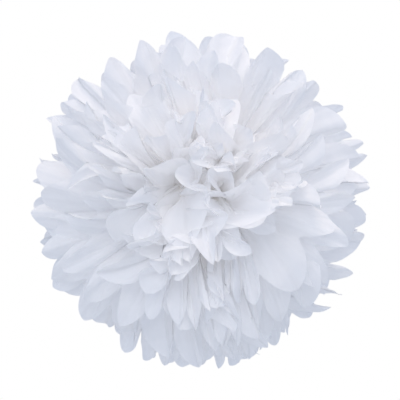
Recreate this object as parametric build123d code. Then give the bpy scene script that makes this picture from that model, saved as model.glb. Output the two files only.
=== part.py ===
from build123d import *
import os
from math import cos, hypot, radians, sin, sqrt

# Tissue-paper pom-pom ball, opened out, in millimetres.
#
# Twelve sheets of tissue are laid in one stack, folded together like an accordion into a
# narrow strip, tied round the middle with wire and cut to petal points at both ends.  The
# sheets are then lifted apart one by one, six towards each pole, until they fill a ball.
#
# Frame: the origin is the tie, in the middle of the ball.  X runs along the tied strip, Y
# along the stack of sheets (so the two flower faces look along -Y and +Y), and Z is up,
# the way the hanging eye points.

# Overall sizes
ball_radius = 125.0
sheet_count = 12

# Accordion folding of each sheet
sheet_length = 500.0  # across the folds, before folding
panel_count = 36  # flat panels between folds; two panels make one petal
petal_depth = 25.0  # from the notch between two petals out to a petal's tip
petal_fullness = 0.22  # how far the cut edge swells outside the straight line, of petal_depth
fullness_place = 0.42  # where it swells, from the notch (0) to the tip (1)

# How the sheets are lifted apart
lowest_elevation = 7.0  # degrees, the two sheets either side of the middle plane
highest_elevation = 82.0  # degrees, the outermost sheet at each pole
fan_half_angle = 87.0  # degrees, how far each half of a sheet fans out from the X axis

# The tied waist, squeezed round by the wire
outer_waist_width = 11.2  # of the first and last sheet in the stack
stack_pitch = 1.2
waist_thickness = 0.9
skin_thickness = 0.36  # of the panels at their outer edge, measured square to the paper
collar_reach = 4.0  # flat waist past the tie on the steepest sheet
collar_step_out = 4.0  # further reach of a level sheet, so that the layers clear at the bend

# Tie wire
wire_diameter = 1.0
wire_clearance = 0.2  # between the wire and the paper
turn_bite = 0.1  # how far the two turns are pressed into each other
tail_length = 12.5
tail_turn_length = 4.2  # of one full twist of the two ends
eye_bore = 8.0
eye_bite = 0.35  # how far the eye's wire is let into the top of the twisted tail

panel_width = sheet_length / panel_count
sheets_per_side = sheet_count // 2
stack_half = (sheet_count - 1) / 2 * stack_pitch + waist_thickness / 2
waist_radius = hypot(stack_half, outer_waist_width / 2)
turn_pitch = wire_diameter - turn_bite


def elevation_of(index):
    """Angle of one sheet from the middle plane towards its own pole, in degrees."""
    steps = sheets_per_side - 1
    from_middle = steps - index if index < sheets_per_side else index - sheets_per_side
    return lowest_elevation + (highest_elevation - lowest_elevation) * from_middle / steps


def mix(start, end, share):
    return start + (end - start) * share


def polygon(*points):
    return Face(Wire.make_polygon(points, close=True))


def fold_ends(index, fold):
    """Inner and outer end of one fold line on the +X half, with the offsets to its skins."""
    pole = -1 if index < sheets_per_side else 1
    level = (index - (sheet_count - 1) / 2) * stack_pitch
    rise = radians(elevation_of(index))
    turn = radians(fan_half_angle) * (2 * fold / panel_count - 1)
    outward = Vector(cos(rise) * cos(turn), pole * sin(rise), cos(rise) * sin(turn))
    poleward = Vector(-sin(rise) * cos(turn), pole * cos(rise), -sin(rise) * sin(turn))

    # The zigzag is as deep as it has to be for every panel to keep its flat width.
    chord = ball_radius * cos(rise) * radians(2 * fan_half_angle) / panel_count
    swing = sqrt(panel_width**2 - chord**2)
    half_skin = skin_thickness / 2 * panel_width / chord

    is_ridge = fold % 2 == 1
    reach = ball_radius if is_ridge else ball_radius - petal_depth
    side = 1 if is_ridge else -1
    collar_x = collar_reach + collar_step_out * cos(rise)
    half_width = sqrt(waist_radius**2 - (abs(level) + waist_thickness / 2) ** 2)
    collar_z = half_width * (2 * fold / panel_count - 1)
    inner = Vector(collar_x, level, collar_z)
    outer = outward * reach + poleward * (side * swing / 2 * reach / ball_radius)
    return inner, Vector(0, pole * waist_thickness / 2, 0), outer, poleward * half_skin


def fan(index, mirror_x):
    """Faces of one fanned half of a sheet, and the ends of its collar on both skins."""

    def place(point):
        return Vector(-point.X, point.Y, point.Z) if mirror_x else point

    folds = [fold_ends(index, fold) for fold in range(panel_count + 1)]
    skins = []
    for side in (1, -1):
        inner = [place(start + shift * side) for start, shift, _, _ in folds]
        outer = [place(end + shift * side) for _, _, end, shift in folds]
        skins.append((inner, outer))

    faces = []
    edges = []
    for inner, outer in skins:
        edge = [outer[0]]
        for panel in range(panel_count):
            valley, ridge = (panel, panel + 1) if panel % 2 == 0 else (panel + 1, panel)
            swell = (outer[ridge] - inner[ridge]).normalized() * (petal_fullness * petal_depth)
            full = mix(outer[valley], outer[ridge], fullness_place) + swell
            faces.append(polygon(inner[valley], inner[ridge], outer[valley]))
            faces.append(polygon(inner[ridge], outer[valley], full, outer[ridge]))
            edge += [full, outer[panel + 1]]
        edges.append(edge)

    # The cut edge of the paper, and the two straight sides of the fan
    upper, lower = edges
    for step in range(len(upper) - 1):
        faces.append(polygon(upper[step], upper[step + 1], lower[step]))
        faces.append(polygon(upper[step + 1], lower[step + 1], lower[step]))
    (upper_in, upper_out), (lower_in, lower_out) = skins
    for end in (0, panel_count):
        faces.append(polygon(upper_in[end], upper_out[end], lower_in[end]))
        faces.append(polygon(upper_out[end], lower_out[end], lower_in[end]))
    return faces, upper_in, lower_in


def tissue_sheet(index):
    """One whole sheet: the pressed waist under the tie and a pleated fan on either side."""
    right, right_upper, right_lower = fan(index, mirror_x=False)
    left, left_upper, left_lower = fan(index, mirror_x=True)
    faces = right + left
    for right_collar, left_collar in ((right_upper, left_upper), (right_lower, left_lower)):
        faces.append(polygon(*right_collar, *reversed(left_collar)))
    for end in (0, panel_count):
        faces.append(polygon(right_upper[end], left_upper[end], left_lower[end], right_lower[end]))
    return Solid(Shell(faces))


def tie_wire():
    """Two turns round the waist, the ends twisted together into a tail with a hanging eye."""
    turn_radius = waist_radius + wire_clearance + wire_diameter / 2
    turn = Rot(0, 90, 0) * Torus(turn_radius, wire_diameter / 2)
    turns = Pos(turn_pitch / 2, 0, 0) * turn + Pos(-turn_pitch / 2, 0, 0) * turn

    strand = Circle(wire_diameter / 2)
    pair = Pos(turn_pitch / 2, 0) * strand + Pos(-turn_pitch / 2, 0) * strand
    tail = Solid.extrude_linear_with_rotation(
        pair.face(), (0, 0, 0), (0, 0, tail_length), 360 * tail_length / tail_turn_length
    )
    tail = Pos(0, 0, turn_radius) * tail

    eye_radius = (eye_bore + wire_diameter) / 2
    eye_height = turn_radius + tail_length - eye_bite + eye_radius + wire_diameter / 2
    eye = Pos(0, 0, eye_height) * Rot(0, 90, 0) * Torus(eye_radius, wire_diameter / 2)
    return turns + tail + eye


parts = {f"tissue_sheet_{index + 1:02d}": tissue_sheet(index) for index in range(sheet_count)}
parts["tie_wire"] = tie_wire()

os.makedirs("parts", exist_ok=True)
for name, part in parts.items():
    part.label = name
    export_step(part, f"parts/{name}.step")
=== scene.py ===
from math import cos, pi, radians, sin

import bpy
import numpy as np
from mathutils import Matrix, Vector


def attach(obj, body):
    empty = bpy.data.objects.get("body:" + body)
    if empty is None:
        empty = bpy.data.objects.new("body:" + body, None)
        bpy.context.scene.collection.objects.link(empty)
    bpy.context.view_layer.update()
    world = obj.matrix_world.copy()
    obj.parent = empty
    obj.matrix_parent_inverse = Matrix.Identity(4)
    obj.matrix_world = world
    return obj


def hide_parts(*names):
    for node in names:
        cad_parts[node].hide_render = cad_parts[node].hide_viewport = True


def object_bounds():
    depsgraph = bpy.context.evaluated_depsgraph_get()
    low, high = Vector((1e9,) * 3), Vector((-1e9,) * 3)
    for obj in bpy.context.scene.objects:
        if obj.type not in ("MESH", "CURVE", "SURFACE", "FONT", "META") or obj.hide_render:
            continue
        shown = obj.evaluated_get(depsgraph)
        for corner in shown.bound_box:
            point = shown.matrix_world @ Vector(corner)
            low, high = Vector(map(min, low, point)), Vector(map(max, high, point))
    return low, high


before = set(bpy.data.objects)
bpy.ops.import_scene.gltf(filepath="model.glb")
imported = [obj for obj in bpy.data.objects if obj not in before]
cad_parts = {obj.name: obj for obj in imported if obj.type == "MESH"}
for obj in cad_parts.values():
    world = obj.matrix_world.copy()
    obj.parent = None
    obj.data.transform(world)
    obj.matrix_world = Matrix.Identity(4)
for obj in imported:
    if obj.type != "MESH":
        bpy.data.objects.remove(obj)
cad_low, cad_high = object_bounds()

# ---------------------------------------------------------------------------------------
# Tissue sheets, six to each side of the ball.  Each is one sheet of white tissue paper,
# folded like an accordion in the stack, tied across the middle, cut to petal points at both
# ends, then lifted from its neighbours and fluffed by hand, so its pleats open unevenly.

MM = 0.001
BALL_RADIUS = (cad_high.y - cad_low.y) / 2
SHEET_NAMES = sorted(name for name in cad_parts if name.startswith("tissue_sheet"))
SHEETS_PER_SIDE = len(SHEET_NAMES) // 2

SHEET_WIDTH = 500 * MM  # across the folds, laid flat
PANELS = 36  # between folds
PETALS = PANELS // 2  # each has a fold down its middle and a notch at either side
PANEL_WIDTH = SHEET_WIDTH / PANELS
PETAL_DEPTH = 25 * MM  # notch to tip
STACK_PITCH = 1.2 * MM
WAIST_HALF_WIDTH = 7 * MM
COLLAR_REACH = 6 * MM  # flat waist on either side of the tie

# How each sheet is fluffed.  Angles in degrees, lengths in millimetres, the rest shares.
FLUFFED = dict(
    fan=205,  # from the first fold of one half to its last
    open=(0.6, 0.9),  # how flat its petals spring, in panel widths
    widening=0.6,  # how much of that they really widen
    nesting=0.8,  # how closely stacked petals follow the open one beside them
    climb=1.0,  # how far stacked petals step over each other
    tuck=9,  # how much shorter stacked petals end
    sway=8,  # how far folds lean with their neighbours
    bunch=3.5,  # folds that lean together
    lean=1.0,  # share of the whole ball's leaning
    point=0.72,  # below 1 the cut petals are blunter
    trim=2.0,  # how unevenly the scissors took the tips
    curl=18,  # of the petals, back from the middle of the flower
    curl_spread=24,  # from petal to petal
    rolled=0.06,  # share of petals that roll further
    inward=0.0,  # share of petals that curl towards the middle
    shift=10,  # sideways lean of a single petal
    ridge_reach=0.5,  # how far below its notches a petal starts to bend
    twist=5,  # of one edge of a petal over the other
    pleat=0.95,  # depth of the pleats, against what keeps a panel its width
    least_fold=0.25,  # depth left where the fan is pulled widest, in panel widths
    puff=0.9,  # how surely panels puff outwards
    bow=2.8,  # height of a puffed panel
    ribs=1.0,  # height of the wave across a panel
    crumple=2.0,  # height of the crumples
)

# The sheets of one side, from the pole to the waist of the ball: how high each half stands over
# that waist, how far it falls back from collar to tips, and what else sets it apart
FLUFFED_BY_RANK = [
    {**FLUFFED, "elevation": 80, "bend": 10, "fan": 230, "open": (0.7, 0.98), "climb": 2.0,
     "tuck": 4, "sway": 10, "bunch": 2.0, "point": 0.6, "trim": 4, "curl": 80, "curl_spread": 25,
     "inward": 0.5, "shift": 22, "ridge_reach": 0.35, "crumple": 2.2},
    {**FLUFFED, "elevation": 62, "bend": 40, "fan": 220, "climb": 2.0, "tuck": 6, "point": 0.7,
     "trim": 3, "curl": 50, "curl_spread": 30, "inward": 0.2, "shift": 14, "ridge_reach": 0.4},
    {**FLUFFED, "elevation": 45, "bend": 55, "climb": 1.4, "lean": 0.95, "curl": 30},
    {**FLUFFED, "elevation": 31, "bend": 50, "sway": 7, "lean": 0.8, "curl": 26, "shift": 13},
    {**FLUFFED, "elevation": 18, "bend": 45, "bunch": 2.5, "lean": 0.56, "curl_spread": 30,
     "shift": 14, "twist": 7},
    {**FLUFFED, "elevation": 5, "bend": 35, "bunch": 2.5, "lean": 0.4, "curl": 4,
     "curl_spread": 30, "shift": 14, "twist": 8},
]

# The grid of one half of a sheet: columns across the folds, rows out from the collar
COLUMNS_PER_PANEL = 4
ROWS = 34
UNCUT = BALL_RADIUS - COLLAR_REACH  # from the collar to the edge before it is cut
ACROSS = np.linspace(0, PANELS, PANELS * COLUMNS_PER_PANEL + 1)
PANEL = np.minimum(ACROSS.astype(int), PANELS - 1)
PART = ACROSS - PANEL  # of the way over a panel
PETAL = PANEL // 2
OFF_RIDGE = ACROSS - 2 * PETAL - 1  # -1 and 1 at a petal's notches, 0 at its ridge
ALONG = np.linspace(0, UNCUT, ROWS + 1)
SHARE = ALONG / BALL_RADIUS  # of the way out to the tips


def between(at_folds):
    """Values given at the folds, for every column."""
    return (at_folds[PANEL].T * (1 - PART) + at_folds[PANEL + 1].T * PART).T


RIDGE = between(np.arange(PANELS + 1) % 2)


def unit(vectors):
    return vectors / np.linalg.norm(vectors, axis=-1, keepdims=True)


def rising(x):
    """0 below 0, 1 above 1, and a smooth ramp between."""
    x = np.clip(x, 0, 1)
    return x * x * (3 - 2 * x)


BELL_ENDS = 3  # spreads either side of a bell curve that are worth counting


def wander(rng, count, reach):
    """Random values of unit spread that change smoothly over about reach neighbours."""
    steps = np.arange(-BELL_ENDS * reach, BELL_ENDS * reach + 1)
    weights = np.exp(-0.5 * (steps / reach) ** 2)
    raw = rng.standard_normal(count + len(weights) - 1)
    return np.convolve(raw, weights, "valid") / np.sqrt((weights**2).sum())


SMALLEST_RING = 0.25  # of the waist of the ball, for the tips of the steepest sheet
OPEN_PANEL = (0.74, 0.94)  # turn from fold to fold, against a panel pulled flat
STACKED_PANEL = (0.06, 0.16)  # the same where petals lie on each other
OPEN_RUN = 0.6  # petals that open or stay stacked together
OVERFULL = 1.03  # turn of all the petals that the fan still takes in
HELD_BACK = 0.8  # of a stacked petal's turn, by the open ones that press on it
CLIMB_RUN = 3  # petals that step up before as many step down
CLIMB_STEP = (0.08, 0.16)  # panel widths from fold to fold


def opened(rng, look):
    """Turn and rise of each fold, and which petals stay stacked between those that open wide."""
    widest = PANEL_WIDTH / BALL_RADIUS / max(cos(radians(look["elevation"])), SMALLEST_RING)
    wide = rng.uniform(*OPEN_PANEL, PETALS) * widest
    angle = rng.uniform(*STACKED_PANEL, PETALS) * widest
    fan = radians(look["fan"])

    # Petals spring open in a chance order until the fan is full, and press on those between
    for petal in np.argsort(wander(rng, PETALS, OPEN_RUN)):
        if 2 * (angle.sum() + wide[petal] - angle[petal]) < fan * OVERFULL:
            angle[petal] = wide[petal]
    stacked = angle < widest / 2
    angle *= 1 - HELD_BACK * stacked
    turns = np.concatenate([[0], np.cumsum(np.repeat(angle, 2))])
    turns *= fan / turns[-1]

    # Stacked petals step up over each other, then down again
    run = (np.arange(PETALS) + rng.integers(2 * CLIMB_RUN)) // CLIMB_RUN
    up_or_down = np.where(run % 2, 1, -1) * stacked
    steps = up_or_down * rng.uniform(*CLIMB_STEP, PETALS) * look["climb"] * PANEL_WIDTH / BALL_RADIUS
    rises = np.concatenate([[0], np.cumsum(np.repeat(steps, 2))])
    return turns - turns[-1] / 2, rises - rises.mean(), stacked


# Bunches of petals lean together, through all the sheets: waves over the ball, each with how
# fast it changes, where it starts and which way it leans
LEAN_REACH = 26  # degrees
LEAN_WAVE_COUNT = 8
LEAN_WAVE_RATE = 3.2  # radians of a wave for each radius of the ball
LEAN_SEED = 7
lean_rng = np.random.default_rng(LEAN_SEED)
LEAN_WAVES = [
    (lean_rng.normal(0, LEAN_WAVE_RATE, 3), lean_rng.uniform(0, 2 * pi), lean_rng.normal(0, 1, 3))
    for _ in range(LEAN_WAVE_COUNT)
]


def leaning(directions):
    """How the bunches of petals lean, by where on the ball they point."""
    lean = np.zeros(directions.shape)
    for wave, phase, way in LEAN_WAVES:
        lean += np.sin(directions @ wave + phase)[..., None] * way
    return lean * radians(LEAN_REACH) / np.sqrt(LEAN_WAVE_COUNT / 2)


COLLAR_STRAY = 3  # degrees that folds stray where they leave the tie
COLLAR_BUNCH = 4  # folds that stray together
FIRST_LIFT = 0.3  # of its bend that a half stands above its elevation at the collar
LATE_BEND = 2.2  # the higher, the nearer to the tips a half bends
LATE_SWAY = 1.2  # the same for how its folds sway
TIP_SWAY = 2  # a fold leans twice as far at its tip as it does on the whole


def lifted(rng, look, side):
    """Ways that every column runs, row by row, and which petals stay stacked."""
    near_tip, rises, stacked = opened(rng, look)
    near_tie = np.linspace(near_tip[0], near_tip[-1], PANELS + 1)
    near_tie += radians(COLLAR_STRAY) * wander(rng, PANELS + 1, COLLAR_BUNCH)
    turn = between(near_tie)[:, None] * (1 - SHARE**2) + between(near_tip)[:, None] * SHARE**2
    bend = radians(look["bend"])
    first_tilt = radians(look["elevation"]) + FIRST_LIFT * bend
    tilt = first_tilt - bend * SHARE**LATE_BEND + between(rises)[:, None] * SHARE
    outward = np.stack([np.cos(tilt) * np.cos(turn), np.sin(tilt), np.cos(tilt) * np.sin(turn)], -1)

    # Folds sway with their neighbours, and with the bunch they are in, but the pole stays put
    sway = [wander(rng, PANELS + 1, look["bunch"]) for _ in range(3)]
    sway = between(np.stack(sway, -1)) * radians(look["sway"])
    tips = outward[:, -1] * side
    pole = np.array([0.0, side[1], 0.0])
    shared = leaning(tips) - leaning(pole) * np.maximum(tips @ pole, 0)[:, None]
    sway += shared * side * look["lean"]
    return unit(outward + sway[:, None, :] * TIP_SWAY * SHARE[:, None] ** LATE_SWAY), stacked


def followed(ways):
    """Lines that start at the collar and run the given ways."""
    steps = unit(ways[:, 1:] + ways[:, :-1]) * np.diff(ALONG)[:, None]
    return np.concatenate([np.zeros_like(steps[:, :1]), np.cumsum(steps, axis=1)], axis=1)


ALONG_TIE = np.array([0, 0, 1e-4])  # across the folds where they all meet, by a hair's breadth
ROLL_ON = (40, 90)  # degrees that rolled petals curl beyond the others
INWARD_CURL = -0.8  # against the curl back
TWIST_BUNCH = 1.5  # petals that twist together
LATE_CURL = 1.4  # the higher, the nearer to its tip a petal curls
EARLY_TWIST = 0.6  # the lower, the nearer to its notches a petal twists
EARLY_WIDTH = 1.2  # above 1, petals are at their widest before their tips
FLATTEST = 0.02  # square of the pleat depth left in the flattest petal, in panel widths
GATHER_LENGTH = 18 * MM  # from the collar to where the pleats are full
CUT_CURVE = 1.35  # radians of a sine from notch to tip


def half_sheet(rng, look, side, level):
    """Points of one half of a sheet, column by column out to the cut edge, and how far along
    the flat paper each of them is."""
    uneven = np.abs(rng.normal(0, look["trim"] * MM, PETALS))[PETAL] * RIDGE
    outward, stacked = lifted(rng, look, side)
    spine = followed(outward)

    # Across the folds, and square to the sheet there
    reach = 2 * COLUMNS_PER_PANEL
    padded = np.pad(spine, ((reach, reach), (0, 0), (0, 0)), mode="edge")
    crosswise = padded[2 * reach :] - padded[: -2 * reach] + ALONG_TIE
    crosswise = unit(crosswise - (crosswise * outward).sum(-1, keepdims=True) * outward)
    facing = np.cross(crosswise, outward)

    # Each petal curls its own way past its notches; stacked ones follow the one they lie on
    curl = np.radians(rng.normal(look["curl"], look["curl_spread"], PETALS))
    rolled = rng.random(PETALS) < look["rolled"]
    curl[rolled] += np.radians(rng.uniform(*ROLL_ON, rolled.sum()))
    curl[rng.random(PETALS) < look["inward"]] *= INWARD_CURL
    shift = np.radians(rng.normal(0, look["shift"], PETALS))
    twist = look["twist"] * MM * wander(rng, PETALS, TWIST_BUNCH)
    leaders = np.flatnonzero(~stacked)
    leader = leaders[np.abs(np.arange(PETALS)[:, None] - leaders).argmin(axis=1)]
    follow = look["nesting"]
    curl, shift, twist = (own * (1 - follow) + own[leader] * follow for own in (curl, shift, twist))

    begins = ((UNCUT - PETAL_DEPTH) * (1 - look["ridge_reach"] * RIDGE))[:, None]
    free = np.maximum((ALONG - begins) / (BALL_RADIUS - begins), 0)
    curled = (curl[PETAL][:, None] * free**LATE_CURL)[..., None]
    shifted = (shift[PETAL][:, None] * free)[..., None]
    way = outward * np.cos(curled) - facing * np.sin(curled)
    centre = followed(unit(way * np.cos(shifted) + crosswise * np.sin(shifted)))
    facing = unit(facing * np.cos(curled) + outward * np.sin(curled))

    # Pleats are as deep as keeps every panel its full width
    chord = np.linalg.norm(np.diff(spine[::COLUMNS_PER_PANEL], axis=0), axis=-1)
    least = look["least_fold"] * PANEL_WIDTH
    swing = np.sqrt(np.maximum(PANEL_WIDTH**2 - chord**2, least**2))
    at_folds = np.concatenate([swing[:1], (swing[1:] + swing[:-1]) / 2, swing[-1:]]) / 2
    at_folds[::2] *= -1

    # Past its notches a petal opens as wide as its own crease lets it
    spring = rng.uniform(*look["open"], PETALS)[PETAL] * PANEL_WIDTH
    wider = np.maximum(spring[:, None] - chord[PANEL], 0)
    spread = look["widening"] * wider * rising(EARLY_WIDTH * free)
    left_over = PANEL_WIDTH**2 - (chord[PANEL] + spread) ** 2
    flatter = np.sqrt(np.maximum(left_over, FLATTEST * PANEL_WIDTH**2)) / swing[PANEL]
    depth = between(at_folds) * rising(ALONG / GATHER_LENGTH) * look["pleat"] * flatter

    # Panels puff from fold to fold, and petals twist, further out
    puffed = rng.normal(look["puff"], 1, PANELS)[PANEL] * 4 * PART * (1 - PART) * look["bow"] * MM
    puffed += rng.normal(0, 1, PANELS)[PANEL] * np.sin(2 * pi * PART) * look["ribs"] * MM
    depth += puffed[:, None] * SHARE + (twist[PETAL] * OFF_RIDGE)[:, None] * free**EARLY_TWIST
    points = centre + facing * depth[..., None] + crosswise * (spread * OFF_RIDGE[:, None])[..., None]

    # The scissors' curve: every column ends where it is cut
    outline = (np.sin(CUT_CURVE * RIDGE) / sin(CUT_CURVE)) ** look["point"]
    cut = UNCUT - PETAL_DEPTH * (1 - outline)
    cut -= uneven + look["tuck"] * MM * stacked[PETAL] * RIDGE
    kept = np.linspace(0, 1, ROWS + 1) * cut[:, None]
    below = np.minimum((kept / UNCUT * ROWS).astype(int), ROWS - 1)
    beyond = (kept / UNCUT * ROWS - below)[..., None]
    column = np.arange(len(ACROSS))[:, None]
    points = points[column, below] * (1 - beyond) + points[column, below + 1] * beyond

    points[..., 0] += COLLAR_REACH
    points[..., 1] += level
    points[..., 2] += (WAIST_HALF_WIDTH * (2 * ACROSS / PANELS - 1))[:, None]
    return points * side, kept


FIRST_SEED = 100  # each sheet has its own
FOLD_CREASE = 0.75  # 1 would keep the folds as sharp as they were pressed


def folded_sheet(number, side, rank):
    """Mesh of a whole sheet, with its flat place, its folds and how loose it is there."""
    rng = np.random.default_rng(FIRST_SEED + number)
    level = (SHEETS_PER_SIDE - rank - 0.5) * STACK_PITCH
    look = FLUFFED_BY_RANK[rank]
    right, right_kept = half_sheet(rng, look, np.array([1, side, 1]), level)
    left, left_kept = half_sheet(rng, look, np.array([-1, side, 1]), level)
    points = np.concatenate([left[:, ::-1], right], axis=1)
    along = np.concatenate([-left_kept[:, ::-1] - COLLAR_REACH, right_kept + COLLAR_REACH], axis=1)
    columns, rows = along.shape
    flat = np.stack([np.repeat(ACROSS[:, None] * PANEL_WIDTH, rows, 1), along], -1).reshape(-1, 2)

    index = np.arange(columns * rows).reshape(columns, rows)
    corners = [index[:-1, :-1], index[1:, :-1], index[1:, 1:], index[:-1, 1:]]
    if side < 0:
        corners.reverse()
    faces = np.stack(corners, -1).reshape(-1, 4)
    mesh = bpy.data.meshes.new("folded_sheet")
    mesh.from_pydata(points.reshape(-1, 3).tolist(), [], faces.tolist())
    mesh.uv_layers.new(name="flat_paper").data.foreach_set("uv", flat[faces.reshape(-1)].ravel())

    ends = np.empty(len(mesh.edges) * 2, int)
    mesh.edges.foreach_get("vertices", ends)
    column = ends.reshape(-1, 2) // rows
    fold = (column[:, 0] == column[:, 1]) & (column[:, 0] % COLUMNS_PER_PANEL == 0)
    values = {
        ("fold", "FLOAT", "EDGE", "value"): fold * FOLD_CREASE,
        ("flat", "FLOAT_VECTOR", "POINT", "vector"): np.pad(flat, ((0, 0), (0, 1))).ravel(),
        ("loose", "FLOAT", "POINT", "value"): (flat[:, 1] / BALL_RADIUS) ** 2,
    }
    for (name, kind, domain, field), value in values.items():
        mesh.attributes.new(name, kind, domain).data.foreach_set(field, value.astype(np.float32))
    return mesh


def linear(code):
    """Linear colour from an sRGB hex code."""
    channels = [int(code[i : i + 2], 16) / 255 for i in (0, 2, 4)]
    return [c / 12.92 if c <= 0.04045 else ((c + 0.055) / 1.055) ** 2.4 for c in channels] + [1]


def add_node(tree, kind, settings=None, inputs=None):
    """A node of one kind, with its settings, and its inputs set to values or linked.  Inputs go
    by their names, or by their places where a node has several of one name."""
    node = tree.nodes.new(kind)
    for name, value in (settings or {}).items():
        setattr(node, name, value)
    for name, value in (inputs or {}).items():
        if isinstance(value, bpy.types.NodeSocket):
            tree.links.new(value, node.inputs[name])
        else:
            node.inputs[name].default_value = value
    return node


# Thin bleached tissue, matt on both faces and lit through from behind.  Soft ribs run along
# the folds, over a crinkle; a faint painted glow, which the paper does not give off, lifts the
# shade between the petals.  Real fibre clouds are a few millimetres wide and are drawn coarser,
# so that they show.
FIBRE_CLOUDS_PER_METRE = 90.0  # 11 mm, with finer ones in them
RIBS_PER_METRE = 230  # 4.3 mm apart across the folds
RIB_RUNS_PER_METRE = 16  # each goes on for about 60 mm along them
LIT_THROUGH = 0.35  # share of the light that comes through the paper
tissue = bpy.data.materials.new("white_tissue_paper_folded")
tissue.use_nodes = True
tree = tissue.node_tree
tree.nodes.clear()
flat_paper = add_node(tree, "ShaderNodeUVMap", {"uv_map": "flat_paper"})
fibres = add_node(tree, "ShaderNodeTexNoise", inputs={
    "Vector": flat_paper.outputs[0], "Scale": FIBRE_CLOUDS_PER_METRE, "Detail": 5.0})
white = add_node(tree, "ShaderNodeMix", {"data_type": "RGBA"}, {
    0: fibres.outputs[0], 6: linear("FCFCFD"), 7: linear("FEFEFE")})
along_folds = add_node(tree, "ShaderNodeMapping", inputs={
    "Vector": flat_paper.outputs[0], "Scale": (RIBS_PER_METRE, RIB_RUNS_PER_METRE, 1)})
ribs = add_node(tree, "ShaderNodeTexNoise", inputs={
    "Vector": along_folds.outputs[0], "Scale": 1.0, "Detail": 1.0})
ribbed = add_node(tree, "ShaderNodeBump", inputs={
    "Height": ribs.outputs[0], "Strength": 0.7, "Distance": 2.5 * MM})
crinkled = add_node(tree, "ShaderNodeBump", inputs={
    "Height": fibres.outputs[0], "Strength": 0.3, "Distance": 0.8 * MM, "Normal": ribbed.outputs[0]})
matt = add_node(tree, "ShaderNodeBsdfDiffuse", inputs={
    "Color": white.outputs[2], "Normal": crinkled.outputs[0]})
lit_through = add_node(tree, "ShaderNodeBsdfTranslucent", inputs={
    "Color": white.outputs[2], "Normal": crinkled.outputs[0]})
paper = add_node(tree, "ShaderNodeMixShader", inputs={
    0: LIT_THROUGH, 1: matt.outputs[0], 2: lit_through.outputs[0]})
# Painted light: the paper glows faintly by itself, which lifts the shade deep between the petals
painted_glow = add_node(tree, "ShaderNodeEmission", inputs={"Color": linear("FAF6EE"), "Strength": 0.017})
paper_with_painted_glow = add_node(tree, "ShaderNodeAddShader", inputs={0: paper.outputs[0], 1: painted_glow.outputs[0]})
add_node(tree, "ShaderNodeOutputMaterial", inputs={"Surface": paper_with_painted_glow.outputs[0]})

# What handling does to every sheet: the folds soften and the loose paper crumples
handled = bpy.data.node_groups.new("handled_paper", "GeometryNodeTree")
add_socket = handled.interface.new_socket
add_socket("Folded Sheet", in_out="INPUT", socket_type="NodeSocketGeometry")
crumple_height = add_socket("Crumple Height", in_out="INPUT", socket_type="NodeSocketFloat")
crumple_size = add_socket("Crumple Size", in_out="INPUT", socket_type="NodeSocketFloat")
crumple_seed = add_socket("Seed", in_out="INPUT", socket_type="NodeSocketFloat")
add_socket("Paper", in_out="OUTPUT", socket_type="NodeSocketGeometry")
given = add_node(handled, "NodeGroupInput")
fold = add_node(handled, "GeometryNodeInputNamedAttribute", {"data_type": "FLOAT"}, {"Name": "fold"})
softened = add_node(handled, "GeometryNodeSubdivisionSurface", inputs={
    "Mesh": given.outputs["Folded Sheet"], "Level": 1, "Edge Crease": fold.outputs[0]})
flat = add_node(handled, "GeometryNodeInputNamedAttribute", {"data_type": "FLOAT_VECTOR"}, {"Name": "flat"})
loose = add_node(handled, "GeometryNodeInputNamedAttribute", {"data_type": "FLOAT"}, {"Name": "loose"})
per_metre = add_node(handled, "ShaderNodeMath", {"operation": "DIVIDE"}, {
    0: 1.0, 1: given.outputs["Crumple Size"]})
crumples = add_node(handled, "ShaderNodeTexNoise", {"noise_dimensions": "4D"}, {
    "Vector": flat.outputs[0], "W": given.outputs["Seed"], "Scale": per_metre.outputs[0], "Detail": 2.0})
centred = add_node(handled, "ShaderNodeMath", {"operation": "SUBTRACT"}, {0: crumples.outputs[0], 1: 0.5})
raised = add_node(handled, "ShaderNodeMath", {"operation": "MULTIPLY"}, {
    0: centred.outputs[0], 1: given.outputs["Crumple Height"]})
eased = add_node(handled, "ShaderNodeMath", {"operation": "MULTIPLY"}, {
    0: raised.outputs[0], 1: loose.outputs[0]})
normal = add_node(handled, "GeometryNodeInputNormal")
push = add_node(handled, "ShaderNodeVectorMath", {"operation": "SCALE"}, {
    0: normal.outputs[0], "Scale": eased.outputs[0]})
crumpled = add_node(handled, "GeometryNodeSetPosition", inputs={
    "Geometry": softened.outputs[0], "Offset": push.outputs[0]})
smooth = add_node(handled, "GeometryNodeSetShadeSmooth", inputs={"Geometry": crumpled.outputs[0]})
real = add_node(handled, "GeometryNodeRealizeInstances", inputs={"Geometry": smooth.outputs[0]})
papered = add_node(handled, "GeometryNodeSetMaterial", inputs={
    "Geometry": real.outputs[0], "Material": tissue})
add_node(handled, "NodeGroupOutput", inputs={"Paper": papered.outputs[0]})

CRUMPLE_SIZE = 22 * MM
NOISE_SPAN = 4  # noise swings over about a quarter of its full height

for number, name in enumerate(SHEET_NAMES):
    front = number < SHEETS_PER_SIDE
    rank = number if front else 2 * SHEETS_PER_SIDE - 1 - number
    folded = bpy.data.objects.new("folded_sheet", folded_sheet(number, -1 if front else 1, rank))
    bpy.context.collection.objects.link(folded)
    handling = folded.modifiers.new("handled_paper", "NODES")
    handling.node_group = handled
    handling[crumple_height.identifier] = FLUFFED_BY_RANK[rank]["crumple"] * NOISE_SPAN * MM
    handling[crumple_size.identifier] = CRUMPLE_SIZE
    handling[crumple_seed.identifier] = float(number)
    settled = folded.evaluated_get(bpy.context.evaluated_depsgraph_get())
    piece = bpy.data.objects.new(name + "_paper", bpy.data.meshes.new_from_object(settled))
    piece.data.name = name + "_paper"
    bpy.data.objects.remove(folded)
    bpy.context.collection.objects.link(piece)
    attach(piece, "root")
    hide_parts(name)

# ---------------------------------------------------------------------------------------
# Tie wire: soft galvanised wire, wound round the waist of the stack and twisted off, deep
# between the petals.  Its CAD shape is right as it is and only gets its finish here.

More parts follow.
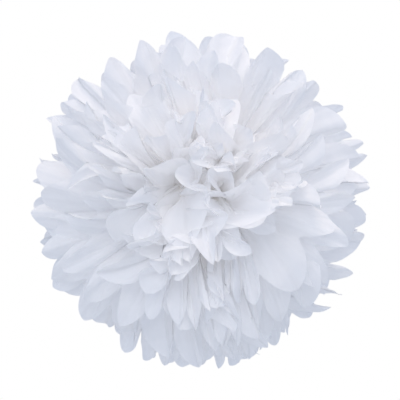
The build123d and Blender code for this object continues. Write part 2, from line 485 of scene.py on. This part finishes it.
# Zinc coat, drawn and bent: patches of duller grey, and scuffs that are finer on real wire and
# are drawn coarser, so that they show
ZINC_PATCHES_PER_METRE = 300.0  # 3.3 mm
SCUFFS_PER_METRE = 2500.0  # 0.4 mm
galvanised = bpy.data.materials.new("galvanised_wire_drawn")
galvanised.use_nodes = True
tree = galvanised.node_tree
zinc = tree.nodes["Principled BSDF"]
place = add_node(tree, "ShaderNodeTexCoord")
patches = add_node(tree, "ShaderNodeTexNoise", inputs={
    "Vector": place.outputs["Object"], "Scale": ZINC_PATCHES_PER_METRE, "Detail": 4.0})
grey = add_node(tree, "ShaderNodeMix", {"data_type": "RGBA"}, {
    0: patches.outputs[0], 6: linear("9A9DA0"), 7: linear("C9CBCD")})
dull = add_node(tree, "ShaderNodeMapRange", inputs={
    "Value": patches.outputs[0], "To Min": 0.3, "To Max": 0.55})
scuffs = add_node(tree, "ShaderNodeTexNoise", inputs={
    "Vector": place.outputs["Object"], "Scale": SCUFFS_PER_METRE, "Detail": 2.0})
scuffed = add_node(tree, "ShaderNodeBump", inputs={
    "Height": scuffs.outputs[0], "Strength": 0.4, "Distance": 0.05 * MM})
zinc.inputs["Metallic"].default_value = 0.9
tree.links.new(grey.outputs[2], zinc.inputs["Base Color"])
tree.links.new(dull.outputs[0], zinc.inputs["Roughness"])
tree.links.new(scuffed.outputs[0], zinc.inputs["Normal"])
for wire_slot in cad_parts["tie_wire"].material_slots:
    wire_slot.material = galvanised

# ---------------------------------------------------------------------------------------
# Studio: a pale round floor well below the ball, a pale room, a warm soft light overhead,
# one from the front and a weak one behind.

FLOOR_RADIUS = 4
FLOOR_LEVEL = -1.4
FLOOR_SIDES = 96
rim_turns = [2 * pi * step / FLOOR_SIDES for step in range(FLOOR_SIDES)]
floor_rim = [(FLOOR_RADIUS * cos(turn), FLOOR_RADIUS * sin(turn), FLOOR_LEVEL) for turn in rim_turns]
floor_mesh = bpy.data.meshes.new("floor")
floor_mesh.from_pydata(floor_rim, [], [tuple(range(FLOOR_SIDES))])
floor = bpy.data.objects.new("floor", floor_mesh)
bpy.context.collection.objects.link(floor)
paint = bpy.data.materials.new("pale_studio_floor_painted")
paint.use_nodes = True
coat = paint.node_tree.nodes["Principled BSDF"]
coat.inputs["Base Color"].default_value = linear("FBF9F4")
coat.inputs["Roughness"].default_value = 0.9
coat.inputs["Emission Color"].default_value = linear("FFF4E6")
coat.inputs["Emission Strength"].default_value = 0.08
floor_mesh.materials.append(paint)

world = bpy.data.worlds.new("pale_room")
bpy.context.scene.world = world
world.use_nodes = True
room = world.node_tree
room.nodes.clear()
ray = add_node(room, "ShaderNodeLightPath")
lighting = add_node(room, "ShaderNodeBackground", inputs={"Color": linear("D7E5FF"), "Strength": 0.65})
backdrop = add_node(room, "ShaderNodeBackground", inputs={"Color": linear("FFFFFF"), "Strength": 1.0})
either = add_node(room, "ShaderNodeMixShader", inputs={
    0: ray.outputs["Is Camera Ray"], 1: lighting.outputs[0], 2: backdrop.outputs[0]})
add_node(room, "ShaderNodeOutputWorld", inputs={"Surface": either.outputs[0]})


def soft_light(name, place, size, watts, colour):
    """A square softbox turned to the ball."""
    lamp = bpy.data.lights.new(name, "AREA")
    lamp.shape = "SQUARE"
    lamp.size = size
    lamp.energy = watts
    lamp.color = linear(colour)[:3]
    holder = bpy.data.objects.new(name, lamp)
    bpy.context.collection.objects.link(holder)
    holder.location = place
    holder.rotation_euler = Vector(place).to_track_quat("Z", "Y").to_euler()


soft_light("overhead_softbox", (0.15, -0.42, 0.95), size=0.6, watts=3.5, colour="FFEAD2")
soft_light("front_softbox", (-0.1, -1.4, 0.5), size=1.2, watts=6.5, colour="FFF9F4")
soft_light("back_softbox", (0.2, 1.5, 0.5), size=1.2, watts=2.6, colour="FFFAF2")

# The camera is level with the middle of the ball and looks into its front flower face
lens = bpy.data.cameras.new("camera")
lens.lens = 85
camera = bpy.data.objects.new("camera", lens)
bpy.context.collection.objects.link(camera)
camera.location = (0, -0.685, 0)
camera.rotation_euler = (radians(90), 0, 0)
bpy.context.scene.camera = camera
bpy.context.scene.view_settings.view_transform = "Standard"

# White tissue passes light on many times before it is lost between the petals
PAPER_BOUNCES = 32
bpy.context.scene.cycles.max_bounces = PAPER_BOUNCES
bpy.context.scene.cycles.diffuse_bounces = PAPER_BOUNCES
